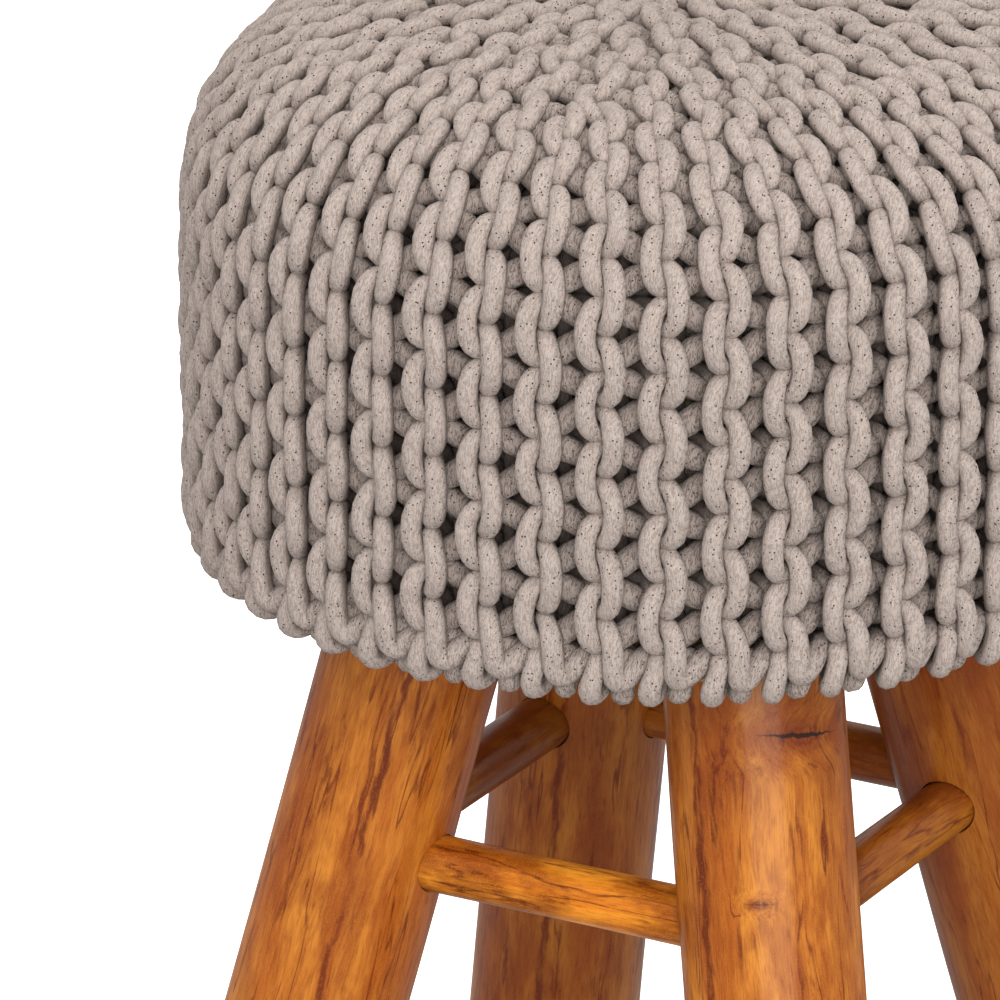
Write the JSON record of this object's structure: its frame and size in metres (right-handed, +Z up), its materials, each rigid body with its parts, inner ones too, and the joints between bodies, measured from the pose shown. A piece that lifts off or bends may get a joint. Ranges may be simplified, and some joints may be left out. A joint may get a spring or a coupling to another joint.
{
  "type": "knitted pouf stool",
  "caption": "Round knitted pouf stool: a filled seat in a chunky ribbed cover, on splayed round wooden legs joined by round stretchers.",
  "frame": {"origin": "on the floor, under the middle of the seat", "axes": "+Z up; the legs stand on the diagonals between X and Y"},
  "size_m": [0.36, 0.36, 0.47],
  "materials": {
    "knit_cover": "soft matt taupe cotton yarn",
    "board_wood": "plain matt",
    "leg_wood": "honey-brown satin varnish",
    "stretcher_wood": "brown gloss varnish"
  },
  "bodies": {
    "root": {"seat_cushion": "knit_cover", "seat_board": "board_wood", "leg_1": "leg_wood", "leg_2": "leg_wood", "leg_3": "leg_wood", "leg_4": "leg_wood", "stretcher_1": "stretcher_wood", "stretcher_2": "stretcher_wood", "stretcher_3": "stretcher_wood", "stretcher_4": "stretcher_wood"}
  },
  "joints": []
}
